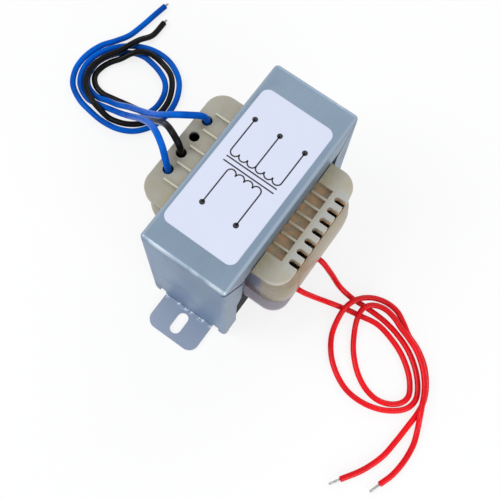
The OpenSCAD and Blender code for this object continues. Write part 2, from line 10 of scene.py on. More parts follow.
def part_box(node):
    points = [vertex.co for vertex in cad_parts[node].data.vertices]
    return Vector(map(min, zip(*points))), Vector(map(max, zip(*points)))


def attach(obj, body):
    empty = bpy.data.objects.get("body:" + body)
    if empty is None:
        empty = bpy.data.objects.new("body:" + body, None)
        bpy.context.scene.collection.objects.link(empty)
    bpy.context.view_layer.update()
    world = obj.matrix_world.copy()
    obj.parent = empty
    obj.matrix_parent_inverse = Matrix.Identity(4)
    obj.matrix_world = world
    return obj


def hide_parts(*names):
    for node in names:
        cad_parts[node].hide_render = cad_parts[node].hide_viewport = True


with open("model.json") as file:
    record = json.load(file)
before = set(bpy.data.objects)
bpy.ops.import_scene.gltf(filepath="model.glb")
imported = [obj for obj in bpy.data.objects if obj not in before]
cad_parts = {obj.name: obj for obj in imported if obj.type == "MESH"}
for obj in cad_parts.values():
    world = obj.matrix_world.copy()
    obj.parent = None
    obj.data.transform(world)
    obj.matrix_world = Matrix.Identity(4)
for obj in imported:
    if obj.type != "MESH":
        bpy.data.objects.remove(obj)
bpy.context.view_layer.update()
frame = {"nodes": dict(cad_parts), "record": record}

MM = 0.001


# ---- Sizes read from the frame ----

core_low, core_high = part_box("e_laminations_yoke_down")
label_low, label_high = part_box("label")
bobbin_low, bobbin_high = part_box("bobbin")
bracket_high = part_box("bracket")[1]


# ---- Sizes of the pieces ----

RED_D = 2.0 * MM
OUTPUT_D = 2.2 * MM

# Bare lead ends: seven strands in a twisted bundle
TIP_D = 0.9 * MM
LONG_TIP = 4 * MM
SHORT_TIP = 1.6 * MM
RING_STRANDS = 6
TWIST = math.radians(150)
TWIST_STEPS = 10
STRAND_SIDES = 8
STRAND_UNEVEN = 0.15 * MM

LAMINATION_T = 0.5 * MM
WALL_OUT = 1.15 * MM  # from the core's end to the outside of the bracket's end wall
CELL_FLOOR = 2.3 * MM  # how far the floors of the bobbin's cells are below its highest ribs

# The label is stuck on by hand: its size, and how far it is off centre and turned
LABEL_SIZE = Vector((51.7, 25.5)) * MM
LABEL_AT = Vector((
    (label_low.x + label_high.x) / 2 - 0.45 * MM,
    (label_low.y + label_high.y) / 2 + 0.46 * MM,
    0,
))
LABEL_TURN = math.radians(-0.5)
LABEL_R = 2.8 * MM
LABEL_WORN = 0.04 * MM  # how far its upper rim is worn down
LABEL_RIM = 0.35 * MM  # the grey, lifted margin


# ---- Camera ----

CAMERA_AT = Vector((-77.2, -46.1, 279.9)) * MM
CAMERA_AIM = Vector((0.2503, 0.1430, -0.9575))
CAMERA_ROLL = math.radians(6.1)
LENS = 59.4
SENSOR = 36


def make_camera():
    """A camera above the front left corner, that looks down on the label."""
    data = bpy.data.cameras.new("camera")
    data.lens = LENS
    data.sensor_width = SENSOR
    data.clip_start = 0.01
    camera = bpy.data.objects.new("camera", data)
    bpy.context.scene.collection.objects.link(camera)
    camera.location = CAMERA_AT
    camera.rotation_mode = "QUATERNION"
    level = CAMERA_AIM.to_track_quat("-Z", "Y")
    camera.rotation_quaternion = level @ Quaternion((0, 0, 1), CAMERA_ROLL)
    bpy.context.scene.camera = camera


make_camera()


# ---- Leads ----

# Centre lines in millimetres, from the joint to the end of the insulation
RED_1_ROUTE = [
    (3, -24.4, 14.7), (3, -28.4, 14.7), (2.9, -33, 9.6), (2.6, -37.8, 3.4), (2.4, -43.4, 1.05),
    (2.5, -50, 1.05), (2.2, -57, 1.05), (0.7, -63.6, 1.05), (-2, -69.8, 1.05), (-6, -75, 1.05),
    (-10.4, -78.6, 1.05), (-14.4, -80.2, 1.05), (-18.2, -79.4, 1.05), (-21.4, -76.5, 1.05),
    (-24.2, -71.6, 1.05), (-25.6, -65.6, 1.05), (-25.2, -59.4, 1.05), (-22.6, -53.6, 1.05),
    (-18.4, -48.6, 1.05), (-12.8, -45, 1.05), (-7, -43.5, 2), (-2, -43.4, 3.3), (2.6, -45.2, 3.4),
    (6.1, -48.9, 2.6), (8, -53.6, 1.3), (7.8, -58.4, 1.05), (5.6, -62.6, 1.05),
    (2.9, -66.6, 1.05), (0.8, -71.4, 1.05), (-2.6, -76.2, 1.05), (-7.2, -80, 1.05),
    (-12.4, -82.5, 1.05), (-17.6, -83.1, 1.05), (-23.4, -82.7, 1.05), (-30, -82.1, 1.05),
    (-36.6, -81.1, 1.05), (-43.8, -78.2, 1.05), (-50.6, -73.8, 1.05),
]
RED_2_ROUTE = [
    (-9.5, -24.4, 14.7), (-9.5, -28.4, 14.7), (-7.4, -32.4, 9.8), (-4.4, -37.2, 3.4),
    (-2.4, -42.6, 1.05), (-1.2, -49, 1.05), (-0.2, -55.6, 1.05), (-1.5, -61.8, 1.05),
    (-4, -67.8, 1.05), (-7.8, -73, 1.05), (-11.6, -76.2, 1.05), (-15, -77.6, 1.05),
    (-18.2, -76.6, 1.05), (-20.8, -73.4, 1.05), (-21.9, -69, 1.05), (-20.9, -64, 1.05),
    (-17.8, -58.8, 1.05), (-12.8, -54, 1.05), (-7.2, -50.6, 1.7), (-2.6, -48.7, 3.2),
    (1.2, -48.6, 3.5), (4, -50.8, 3.4), (5.2, -54.6, 3.3), (4.6, -58.8, 3.3), (2.9, -62.8, 3.3),
    (1.5, -66.8, 3.3), (-0.6, -71.4, 3.3), (-3.8, -75.6, 3.3), (-7.8, -79.1, 3.3),
    (-11.8, -81.4, 3.3), (-15.4, -82.8, 3.4), (-18.8, -84.2, 3.1), (-22.4, -86, 1.2),
    (-27.4, -87.5, 1.05), (-33.4, -87.8, 1.05), (-39.4, -87, 1.05), (-44.4, -85.2, 1.05),
]
BLUE_1_ROUTE = [
    (10, 23.8, 33), (10, 23.8, 42), (10, 23.8, 46.6), (8.9, 24.8, 50.2), (6.2, 27.6, 52),
    (4, 32, 50.6), (3.6, 37.8, 44), (4.8, 43.5, 36), (6.8, 49.6, 27.4), (8.8, 57.6, 17.4),
    (10.2, 65.4, 8), (11, 71, 3), (10.5, 76, 1.15), (11.6, 80.6, 1.15), (14.6, 83.7, 1.15),
    (18.8, 84.8, 1.15), (23, 84.5, 1.15), (27.2, 82.5, 1.15), (30.5, 79.8, 1.15), (33, 76, 1.15),
    (34, 72.2, 1.15), (33.7, 68.4, 1.15), (32.7, 64.2, 1.15), (30.8, 60.2, 1.15),
    (28.2, 57.7, 1.15), (24.6, 56.2, 1.15), (20.4, 55.8, 1.15), (16.4, 56.6, 1.15),
]
BLUE_2_ROUTE = [
    (-10, 23.8, 33), (-10, 23.8, 42), (-10, 23.8, 46.6), (-9.2, 25, 50.2), (-6.8, 28, 52),
    (-3.8, 32.6, 50.6), (-0.8, 38, 45), (2, 44.6, 35.5), (5, 53, 22), (7.6, 60.6, 10.4),
    (9.1, 67.4, 2.8), (8.4, 73.4, 1.15), (7.9, 78.6, 1.15), (11, 84.4, 1.15), (17, 87.4, 1.15),
    (24, 87.1, 1.15), (30.6, 83.4, 1.15), (35.6, 77.6, 1.15), (38.3, 70.6, 1.15), (38, 63, 1.15),
    (34.2, 56, 1.15), (28, 52, 1.15), (21, 50.7, 1.15), (14, 51.9, 1.15), (8, 56, 1.15),
    (4.8, 61.8, 1.15), (3.9, 68.4, 1.15), (4.5, 74.6, 1.15), (5.8, 80.6, 1.15), (9.2, 86.4, 1.15),
    (15, 89.6, 1.15), (21.6, 90, 1.15), (28, 88.2, 1.15), (33.2, 84.8, 1.15), (38, 82.2, 1.15),
    (44, 80.9, 1.15), (50.4, 80, 1.15), (56.2, 79.1, 1.15),
]
BLACK_ROUTE = [
    (-3.3, 23.8, 33), (-3.3, 23.8, 42), (-3.3, 23.8, 46.6), (-2.6, 25.2, 50.2), (-1, 29, 51.6),
    (0.9, 33, 48), (4, 39.4, 37), (7.4, 45.8, 25.6), (10.8, 52.2, 15), (13.4, 58.6, 6.8),
    (14.2, 64.4, 2.4), (13.6, 70, 1.15), (12.8, 75, 1.15), (13.8, 79.2, 1.15), (16.8, 82, 1.15),
    (20.8, 82.2, 1.15), (24.8, 80.8, 1.15), (28, 78.4, 1.7), (31.2, 76, 3.3), (34.1, 73.3, 3.7),
    (35.9, 69.6, 2.6), (35.8, 64.6, 1.15), (33.8, 59.4, 1.15), (29.6, 55.7, 1.15),
    (23.8, 53.4, 1.15), (17.6, 53.5, 1.15), (12, 55.9, 1.15), (8.2, 60.6, 1.15),
    (6.4, 66.4, 1.15), (6.6, 71.2, 2.6), (7.6, 75.6, 3.7), (9.8, 79.8, 3.7), (13.6, 83, 3.7),
    (19, 84.1, 3.7), (24.8, 82.6, 3.7), (29.6, 79.9, 3.8), (34, 78.3, 3.9), (38, 77, 3.2),
    (43.4, 75.1, 1.2), (50.2, 75, 1.15),
]


def lead_curve(name, route, diameter):
    """A bezier curve through the route; its thickness is on its knots, so its bounds are true."""
    points = [Vector(p) * MM for p in route]
    data = bpy.data.curves.new(name, "CURVE")
    data.dimensions = "3D"
    data.resolution_u = 8
    data.bevel_depth = 1
    data.bevel_resolution = 5
    data.use_fill_caps = True
    spline = data.splines.new("BEZIER")
    spline.bezier_points.add(len(points) - 1)
    last = len(points) - 1
    for i, (knot, point) in enumerate(zip(spline.bezier_points, points)):
        before, after = points[max(i - 1, 0)], points[min(i + 1, last)]
        reach = (after - before) / (6 if 0 < i < last else 3)
        knot.handle_left_type = knot.handle_right_type = "FREE"
        knot.co = point
        knot.radius = diameter / 2
        knot.handle_left = lift(point - reach, diameter)
        knot.handle_right = lift(point + reach, diameter)
    piece = bpy.data.objects.new(name, data)
    bpy.context.scene.collection.objects.link(piece)
    return piece


def lift(point, diameter):
    """The point, no lower than the lead's radius."""
    return Vector((point.x, point.y, max(point.z, diameter / 2)))


def strands(name, route, length):
    """Seven twisted strands, tinned, that stand out of the insulation."""
    end, before = Vector(route[-1]) * MM, Vector(route[-2]) * MM
    along = (end - before).normalized()
    strand_r = TIP_D / 6
    ring_r = TIP_D / 2 - strand_r
    shape = bmesh.new()
    for i in range(RING_STRANDS + 1):
        around = Matrix.Rotation(i * math.tau / RING_STRANDS, 4, "Z")
        offset = Vector((ring_r if i < RING_STRANDS else 0, 0, 0))
        made = bmesh.ops.create_circle(
            shape, cap_ends=True, segments=STRAND_SIDES, radius=strand_r,
        )["verts"]
        bmesh.ops.translate(shape, verts=made, vec=offset)
        bmesh.ops.rotate(shape, verts=made, cent=(0, 0, 0), matrix=around)
        face = [f for f in shape.faces if all(v in made for v in f.verts)]
        reach = length - (i % 3) * STRAND_UNEVEN
        bmesh.ops.spin(
            shape, geom=face, cent=(0, 0, 0), axis=(0, 0, 1), dvec=(0, 0, reach / TWIST_STEPS),
            angle=TWIST, steps=TWIST_STEPS, use_duplicate=False,
        )
    bmesh.ops.recalc_face_normals(shape, faces=shape.faces)
    turn = along.to_track_quat("Z", "Y").to_matrix().to_4x4()
    bmesh.ops.transform(shape, matrix=Matrix.Translation(end) @ turn, verts=shape.verts)
    return piece_from(shape, name, smooth=True)


def piece_from(shape, name, smooth=False):
    """A new object of this shape, riding on the transformer."""
    mesh = bpy.data.meshes.new(name)
    shape.to_mesh(mesh)
    shape.free()
    for face in mesh.polygons:
        face.use_smooth = smooth
    piece = bpy.data.objects.new(name, mesh)
    bpy.context.scene.collection.objects.link(piece)
    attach(piece, "root")
    return piece


# Each lead: its two CAD nodes, route, diameter, bare tip's length, real length and slot
LEADS = [
    ("red_lead_1", "red_tip_1", RED_1_ROUTE, RED_D, LONG_TIP, 0.219, "red_pvc"),
    ("red_lead_2", "red_tip_2", RED_2_ROUTE, RED_D, LONG_TIP, 0.188, "red_pvc"),
    ("blue_lead_1", "blue_tip_1", BLUE_1_ROUTE, OUTPUT_D, SHORT_TIP, 0.159, "blue_pvc"),
    ("blue_lead_2", "blue_tip_2", BLUE_2_ROUTE, OUTPUT_D, SHORT_TIP, 0.271, "blue_pvc"),
    ("black_lead", "black_tip", BLACK_ROUTE, OUTPUT_D, SHORT_TIP, 0.236, "black_pvc"),
]


def make_leads():
    """The five leads, each a cord that stands for its CAD solids."""
    made = []
    for node, tip_node, route, diameter, tip, length, slot in LEADS:
        wire = lead_curve(node + "_wire", route, diameter)
        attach(wire, "root")
        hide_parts(node)
        end = strands(tip_node + "_strands", route, tip)
        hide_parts(tip_node)
        made.append((wire, end, slot))
    return made


leads = make_leads()


# ---- Shader maths ----

class Wire:
    """A socket of a node tree that takes Python arithmetic."""

    def __init__(self, nodes, socket):
        self.nodes = nodes
        self.socket = socket

    def _maths(self, operation, *values):
        """A maths node of these values."""
        settings = {"operation": operation}
        return self.nodes.node("ShaderNodeMath", settings, dict(enumerate(values)))

    def __add__(self, other): return self._maths("ADD", self, other)
    def __radd__(self, other): return self._maths("ADD", other, self)
    def __sub__(self, other): return self._maths("SUBTRACT", self, other)
    def __rsub__(self, other): return self._maths("SUBTRACT", other, self)
    def __mul__(self, other): return self._maths("MULTIPLY", self, other)
    def __rmul__(self, other): return self._maths("MULTIPLY", other, self)
    def __truediv__(self, other): return self._maths("DIVIDE", self, other)
    def __rtruediv__(self, other): return self._maths("DIVIDE", other, self)
    def __pow__(self, other): return self._maths("POWER", self, other)
    def __rpow__(self, other): return self._maths("POWER", other, self)
    def floor(self): return self._maths("FLOOR", self)
    def size(self): return self._maths("ABSOLUTE", self)
    def high_of(self, other): return self._maths("MAXIMUM", self, other)


class Nodes:
    """A node tree; each node made in it comes from one method."""

    def __init__(self, tree):
        self.tree = tree

    def node(self, kind, settings=None, values=None, out=0):
        """A node of this kind: its settings first, then its sockets' values or links."""
        made = self.tree.nodes.new(kind)
        for key, value in (settings or {}).items():
            setattr(made, key, value)
        for key, value in (values or {}).items():
            self.link(made.inputs[key], value)
        return Wire(self, made.outputs[out])

    def link(self, socket, value):
        """Feed a socket from a wire, or set its value."""
        if isinstance(value, Wire):
            self.tree.links.new(value.socket, socket)
        elif isinstance(value, (tuple, list)) and len(value) == 3 and socket.type == "RGBA":
            socket.default_value = (*value, 1)
        else:
            socket.default_value = value

    def on_view(self):
        """1 for what is looked at, also in a reflection or through something clear; else 0."""
        camera, gloss, clear = (
            self.node("ShaderNodeLightPath", out=f"Is {kind} Ray")
            for kind in ("Camera", "Glossy", "Transmission")
        )
        return camera.high_of(gloss).high_of(clear)


class Finish(Nodes):
    """A material: a Principled shader and the nodes that vary it over the surface."""

    def __init__(self, name, **uniform):
        self.material = bpy.data.materials.new(name)
        self.material.use_nodes = True
        super().__init__(self.material.node_tree)
        self.shader = self.tree.nodes["Principled BSDF"]
        self.output = self.tree.nodes["Material Output"]
        self.place = self.node("ShaderNodeTexCoord", out="Object")
        for socket, value in uniform.items():
            self.shader.inputs[socket.replace("_", " ")].default_value = value

    def feed(self, **sockets):
        """Feed the shader's sockets, named with _ for a space."""
        for key, value in sockets.items():
            self.link(self.shader.inputs[key.replace("_", " ")], value)
        return self

    def part(self, vector, letter):
        """One coordinate of a vector."""
        return self.node("ShaderNodeSeparateXYZ", values={0: vector}, out=letter)

    def axis(self, letter):
        """One coordinate of the place on the transformer, in metres."""
        return self.part(self.place, letter)

    def facing(self, letter):
        """How far the surface faces along an axis, from -1 to 1."""
        return self.part(self.node("ShaderNodeNewGeometry", out="Normal"), letter)

    def noise(self, scale, detail=3, rough=0.5, stretch=(1, 1, 1)):
        """Noise of `scale` lumps a metre, drawn out along an axis by `stretch`."""
        where = self.node("ShaderNodeMapping", values={"Vector": self.place, "Scale": stretch})
        settings = {"noise_dimensions": "3D"}
        values = {"Vector": where, "Scale": scale, "Detail": detail, "Roughness": rough}
        return self.node("ShaderNodeTexNoise", settings, values, "Fac")

    def spots(self, scale):
        """Distance to the nearest of scattered points, in cell widths."""
        values = {"Vector": self.place, "Scale": scale}
        return self.node("ShaderNodeTexVoronoi", values=values, out="Distance")

    def band(self, value, low, high):
        """0 below `low`, 1 above `high`, smooth between."""
        values = {"Value": value, "From Min": low, "From Max": high}
        return self.node("ShaderNodeMapRange", {"interpolation_type": "SMOOTHSTEP"}, values)

    def mix(self, share, first, second):
        """A colour between two, by share."""
        values = {0: share, 6: first, 7: second}
        return self.node("ShaderNodeMix", {"data_type": "RGBA"}, values, out=2)

    def bump(self, height, depth):
        """Surface relief: `height` of 0 to 1 stands for `depth` metres."""
        values = {"Height": height, "Distance": depth, "Strength": 1.0}
        return self.node("ShaderNodeBump", values=values)


def rgb(red, green, blue):
    """A colour given as 0 to 255 on screen, as linear light."""
    def linear(c):
        c = c / 255
        return c / 12.92 if c <= 0.04045 else ((c + 0.055) / 1.055) ** 2.4
    return (linear(red), linear(green), linear(blue))


# ---- Finishes ----

def plated_steel():
    """Cold-rolled sheet with a dull blue-white plating and painted highlights along its bends."""
    f = Finish("plated_steel", Metallic=0.6)
    x, y, z = f.axis("X").size(), f.axis("Y").size(), f.axis("Z")
    grain = f.noise(900, 4, 0.6, stretch=(0.12, 1, 1))
    cloud = f.noise(45, 4, 0.55)
    scratch = f.band(f.noise(420, 2, 0.4, stretch=(0.06, 1.6, 1)), 0.72, 0.78)
    smudge = f.band(f.noise(110, 5, 0.6), 0.52, 0.72)
    # The end walls: painted bluer for the light falling on them, with broad patches of painted
    # shade
    end = f.band(f.facing("X").size(), 0.5, 0.95)
    painted_end_shade = end * f.band(f.noise(26, 2, 0.5), 0.45, 0.6)
    wall_x, wall_y = core_high.x + WALL_OUT, bracket_high.y
    # Painted highlights on its bends, where they turn from the top into the end walls
    bend = f.band(z, bracket_high.z - 1.2 * MM, bracket_high.z - 0.4 * MM)
    highlight_breakup = f.band(f.noise(80, 3, 0.6), 0.42, 0.62)
    painted_bend_highlight = bend * f.band(x, wall_x - 1.2 * MM, wall_x - 0.7 * MM) * (highlight_breakup * 0.6 + 0.15)
    long_bend_highlight = bend * f.band(y, wall_y - 1.5 * MM, wall_y - 0.5 * MM)
    # The feet, and small nicks in the bends that they grow from
    foot = f.band(x, wall_x, wall_x + 1 * MM)
    past_bend = f.band(x, wall_x + 0.6 * MM, wall_x + 1.6 * MM)
    near_foot = f.band(x, wall_x - 0.8 * MM, wall_x) * (1 - past_bend)
    above = f.band(z, 1.6 * MM, 2.6 * MM)
    nicks = near_foot * (1 - above) * f.band(f.noise(520, 3, 0.6), 0.55, 0.62)
    low = 1 - f.band(z, 0.0, 9 * MM)
    body = f.mix(cloud, rgb(116, 135, 154), rgb(134, 152, 170))
    # End walls painted bluer, then patches of painted shade on them
    body = f.mix(end * 0.6, body, rgb(112, 138, 172))
    body = f.mix(painted_end_shade * 0.45, body, rgb(96, 116, 142))
    body = f.mix(grain * 0.35, body, rgb(106, 122, 141))
    body = f.mix(smudge * 0.22, body, rgb(98, 111, 130))
    body = f.mix(low * cloud * 0.3, body, rgb(122, 130, 150))
    body = f.mix(scratch * 0.3, body, rgb(166, 180, 196))
    foot_colour = f.mix(cloud, rgb(134, 150, 172), rgb(158, 164, 184))
    body = f.mix(foot * 0.7, body, foot_colour)
    # Painted highlights on the long bends and end bends, with bright nicks by the feet
    body = f.mix(long_bend_highlight * 0.45, body, rgb(176, 189, 204))
    body = f.mix(painted_bend_highlight.high_of(nicks * 0.8), body, rgb(206, 216, 226))
    relief = grain * 0.5 + scratch * -0.6 + nicks * -1.5 + f.noise(3200, 2, 0.5) * 0.3
    rough = 0.36 + cloud * 0.1 + smudge * 0.12 + grain * 0.06 - painted_bend_highlight * 0.12
    return f.feed(
        Base_Color=body, Roughness=rough, Normal=f.bump(relief, 0.012 * MM),
    ).material


def silicon_steel():
    """Stacked silicon steel: blue-black oxide, every sheet a little different."""
    f = Finish("silicon_steel", Metallic=0.04, Specular_IOR_Level=0.05)
    depth = (f.axis("Y") - core_low.y) / LAMINATION_T
    sheet = depth.floor()
    tone = f.node("ShaderNodeTexWhiteNoise", {"noise_dimensions": "1D"}, {"W": sheet}, out="Value")
    edge = 1 - f.band(f.facing("Y").size(), 0.4, 0.8)
    seam = f.band((depth - sheet - 0.5).size(), 0.36, 0.5)
    cloud = f.noise(120, 4, 0.6)
    rust = f.band(f.noise(260, 5, 0.65), 0.6, 0.74)
    # The faces are darker towards the bottom, near black below about 22 mm
    darker_below = 1 - f.band(f.axis("Z") + cloud * 3 * MM, 19 * MM, 25 * MM)
    face = f.mix(cloud, rgb(84, 88, 106), rgb(108, 110, 130))
    face = f.mix(darker_below, face, rgb(4, 8, 16))
    cut = f.mix(tone, rgb(26, 31, 42), rgb(104, 104, 108))
    body = f.mix(edge, face, cut)
    body = f.mix(rust * 0.3, body, rgb(92, 66, 52))
    body = f.mix(edge * seam * 0.8, body, rgb(10, 12, 16))
    relief = edge * (tone * 0.6 - seam) + cloud * 0.3
    return f.feed(
        Base_Color=body, Roughness=0.4 + cloud * 0.2 + rust * 0.25 + darker_below * 0.1,
        Normal=f.bump(relief, 0.05 * MM),
    ).material


def natural_nylon():
    """Unfilled nylon, ivory where it is thick and tan where light comes through."""
    f = Finish("natural_nylon", Subsurface_Weight=0.12, Subsurface_Scale=0.002)
    f.shader.inputs["Subsurface Radius"].default_value = (1.0, 0.7, 0.4)
    x, y, z = f.axis("X"), f.axis("Y"), f.axis("Z")
    out_x, out_y = x.size(), y.size()
    floor_z, rib_z, core_y = bobbin_high.z - CELL_FLOOR, bobbin_high.z, core_high.y
    cloud = f.noise(90, 4, 0.55)
    flow = f.noise(220, 3, 0.5, stretch=(1, 0.25, 1))
    stain = f.band(f.noise(150, 3, 0.55), 0.5, 0.72)
    blotch = f.band(f.noise(420, 3, 0.55), 0.42, 0.6)
    pits = f.band(f.spots(700), 0.0, 0.16)
    # The upper flange, and the thin floors of the cells behind its comb
    upper = f.band(z, floor_z - 5 * MM, floor_z - 3 * MM)
    front = 1 - f.band(y, -core_y, -core_y + MM)
    cells = (1 - f.band(out_x, 14.2 * MM, 14.6 * MM)) * front
    thin = (1 - f.band(z, floor_z + 0.2 * MM, floor_z + 1.2 * MM)) * cells
    # The tops of its highest ribs, for a painted highlight
    rib_top_highlight = f.band(z, rib_z - 0.2 * MM, rib_z - 0.08 * MM)
    comb_y = bobbin_low.y + 5 * MM
    comb = 1 - f.band(y, comb_y - 0.4 * MM, comb_y + 0.4 * MM)
    comb = comb * (1 - f.band(out_x, 15 * MM, 16.5 * MM))
    # Its underside in painted shade, painted tan-brown shade by the bracket, and one yellowed
    # corner
    under = 1 - f.band(z, floor_z - 1.1 * MM, floor_z - 0.3 * MM)
    shaded = under * upper * (1 - f.band(out_y, core_y + 6 * MM, core_y + 10 * MM))
    painted_bracket_shade = 1 - f.band(out_y, core_y + 2 * MM, core_y + 7 * MM)
    corner = f.band(y, 0, core_y) * (1 - f.band(y, core_y + 3 * MM, core_y + 7 * MM))
    corner = corner * (1 - f.band(x, bobbin_low.x + 3 * MM, bobbin_low.x + 9 * MM))
    body = f.mix(cloud, rgb(166, 162, 146), rgb(182, 178, 164))
    body = f.mix(comb * 0.6, body, rgb(176, 179, 178))
    # Painted tan-brown shade on the deck next to the bracket
    body = f.mix(painted_bracket_shade * upper * (blotch * 0.35 + 0.35), body, rgb(154, 138, 98))
    cell_colour = f.mix(blotch, rgb(206, 160, 112), rgb(172, 152, 124))
    body = f.mix(thin * upper * 0.85, body, cell_colour)
    body = f.mix(stain * upper * (1 - thin) * 0.3, body, rgb(164, 152, 112))
    body = f.mix(f.band(flow, 0.5, 0.8) * 0.25, body, rgb(168, 150, 112))
    body = f.mix(corner * upper * (stain * 0.4 + 0.4), body, rgb(176, 158, 96))
    # Painted highlight on the rib tops
    body = f.mix(rib_top_highlight * 0.9, body, rgb(214, 208, 186))
    body = f.mix(shaded * 0.8, body, rgb(44, 46, 54))
    # The lower flange: whiter nylon with no tape behind it, lightened and tinted violet as painted
    # bounce light
    lower_bounce_colour = f.mix(cloud, rgb(184, 180, 200), rgb(196, 192, 208))
    body = f.mix((1 - upper) * 0.85, body, lower_bounce_colour)
    relief = cloud * 0.5 + flow * 0.4 + pits * 0.2 + stain * upper * 0.5
    return f.feed(
        Base_Color=body, Roughness=0.34 + cloud * 0.16 + stain * 0.08,
        Normal=f.bump(relief, 0.06 * MM),
    ).material


def enamelled_copper():
    """Layers of enamelled wire, one turn above the other."""
    f = Finish("enamelled_copper", Metallic=0.85)
    turn_pitch = 0.32 * MM
    turn = f.axis("Z") / turn_pitch
    ridge = (turn - turn.floor() - 0.5).size() * 2
    cloud = f.noise(300, 3, 0.5)
    body = f.mix(cloud, rgb(150, 78, 40), rgb(188, 108, 58))
    # Painted shade in the grooves between turns
    body = f.mix(ridge ** 3, body, rgb(70, 32, 18))
    return f.feed(
        Base_Color=body, Roughness=0.3 + cloud * 0.15, Normal=f.bump(1 - ridge ** 2, 0.12 * MM),
    ).material


def winding_tape(name, colour, dark, outermost=False):
    """Polyester film tape in lapped turns, a little wrinkled; clear over the coil's sides, which
    carry painted shade.
    """
    f = Finish(name, Coat_Weight=0.3, Coat_Roughness=0.2)
    lap_pitch = 9 * MM
    lap = (f.axis("Z") + f.axis("X") * 0.04) / lap_pitch
    edge = f.band(lap - lap.floor(), 0.93, 0.98)
    wrinkle = f.noise(240, 4, 0.6, stretch=(0.4, 0.4, 1.8))
    cloud = f.noise(70, 3, 0.5)
    body = f.mix(cloud, colour, dark)
    body = f.mix(edge * 0.5, body, dark)
    if outermost:
        # Its ends bulge out of the core; beside the core: painted shade, shadow and the windings
        y, z = f.axis("Y").size() - core_high.y, f.axis("Z") + wrinkle * MM
        beside = 1 - f.band(y, 4.2 * MM, 5.4 * MM)
        front = f.band(y, 12.5 * MM, 15 * MM)
        copper = 1 - f.band(z, 23.5 * MM, 27 * MM)
        shadow = f.band(z, 38.5 * MM, 40.5 * MM)
        body = f.mix(front * 0.5, body, rgb(156, 146, 122))
        # Painted violet-grey shade on the coil's side beside the core
        body = f.mix(beside, body, f.mix(cloud, rgb(96, 98, 118), rgb(112, 112, 132)))
        body = f.mix(beside * copper * 0.9, body, rgb(92, 66, 58))
        # Painted shadow under the deck
        body = f.mix(beside * shadow * 0.9, body, rgb(20, 24, 34))
    return f.feed(
        Base_Color=body, Roughness=0.34 + wrinkle * 0.2,
        Normal=f.bump(wrinkle + edge * 0.6, 0.16 * MM),
    ).material


def pad_paper():
    """Pressed insulating paper."""
    f = Finish("pad_paper")
    fibre = f.noise(1800, 4, 0.7, stretch=(1, 1, 0.3))
    cloud = f.noise(160, 3, 0.5)
    body = f.mix(fibre, rgb(176, 150, 104), rgb(206, 184, 142))
    body = f.mix(cloud * 0.3, body, rgb(150, 124, 84))
    return f.feed(
        Base_Color=body, Roughness=0.75 + cloud * 0.15, Normal=f.bump(fibre, 0.03 * MM),
    ).material


def solder():
    """Tinned and soldered metal, frosted in places."""
    f = Finish("solder", Metallic=0.9)
    frost = f.noise(2600, 4, 0.6)
    cloud = f.noise(700, 3, 0.5)
    body = f.mix(cloud, rgb(150, 148, 146), rgb(204, 202, 198))
    return f.feed(
        Base_Color=body, Roughness=0.25 + frost * 0.3, Normal=f.bump(frost, 0.02 * MM),
    ).material


def label_film():
    """White film with a satin face, its rim a little lifted and grey."""
    f = Finish("label_film", Specular_IOR_Level=0.4)
    own = {"Vector": f.place, "Location": tuple(LABEL_AT), "Rotation": (0, 0, LABEL_TURN)}
    own_place = f.node("ShaderNodeMapping", {"vector_type": "TEXTURE"}, own)
    rim_x = f.part(own_place, "X").size() - (LABEL_SIZE.x / 2 - LABEL_RIM)
    rim_y = f.part(own_place, "Y").size() - (LABEL_SIZE.y / 2 - LABEL_RIM)
    rim = f.band(rim_x.high_of(rim_y), 0, LABEL_RIM)
    cloud = f.noise(60, 3, 0.5)
    fibre = f.noise(2400, 3, 0.6)
    body = f.mix(cloud, rgb(206, 212, 232), rgb(215, 220, 238))
    body = f.mix(rim * 0.5, body, rgb(176, 184, 202))
    return f.feed(
        Base_Color=body, Roughness=0.42 + cloud * 0.12,
        Normal=f.bump(cloud * 0.6 + fibre * 0.15 - rim * 0.4, 0.03 * MM),
    ).material


def label_ink():
    """Black thermal print, worn thin in places."""
    f = Finish("label_ink")
    wear = f.band(f.noise(1500, 4, 0.6), 0.6, 0.75)
    body = f.mix(wear * 0.5, rgb(22, 22, 28), rgb(90, 92, 100))
    return f.feed(
        Base_Color=body, Roughness=0.5 + wear * 0.2, Normal=f.bump(wear, 0.01 * MM),
    ).material


def lead_pvc(name, colour, shade, glow, gloss):
    """Soft PVC with a slight orange peel, darker and lighter along its length."""
    f = Finish(name, Specular_IOR_Level=gloss)
    cloud = f.noise(70, 3, 0.5)
    peel = f.noise(900, 3, 0.55)
    scuff = f.band(f.noise(330, 4, 0.6), 0.62, 0.76)
    body = f.mix(f.band(cloud, 0.35, 0.7), colour, shade)
    body = f.mix(scuff * 0.35, body, glow)
    rough = 0.22 + peel * 0.12 + scuff * 0.15
    return f.feed(
        Base_Color=body, Roughness=rough, Normal=f.bump(peel, 0.01 * MM),
    ).material


FINISHES = {
    "plated_steel": plated_steel(),
    "silicon_steel": silicon_steel(),
    "natural_nylon": natural_nylon(),
    "enamelled_copper": enamelled_copper(),
    "yellow_tape": winding_tape("yellow_tape", rgb(196, 164, 96), rgb(166, 130, 66)),
    "wrap_tape": winding_tape("wrap_tape", rgb(142, 128, 98), rgb(122, 108, 80), outermost=True),
    "pad_paper": pad_paper(),
    "solder": solder(),
    "label_film": label_film(),
    "label_ink": label_ink(),
    "red_pvc": lead_pvc("red_pvc", rgb(238, 8, 24), rgb(212, 4, 20), rgb(240, 44, 54), 0.22),
    "blue_pvc": lead_pvc("blue_pvc", rgb(0, 98, 206), rgb(0, 72, 168), rgb(4, 116, 214), 0.05),
    "black_pvc": lead_pvc("black_pvc", rgb(10, 10, 14), rgb(5, 5, 8), rgb(30, 30, 38), 0.12),
}


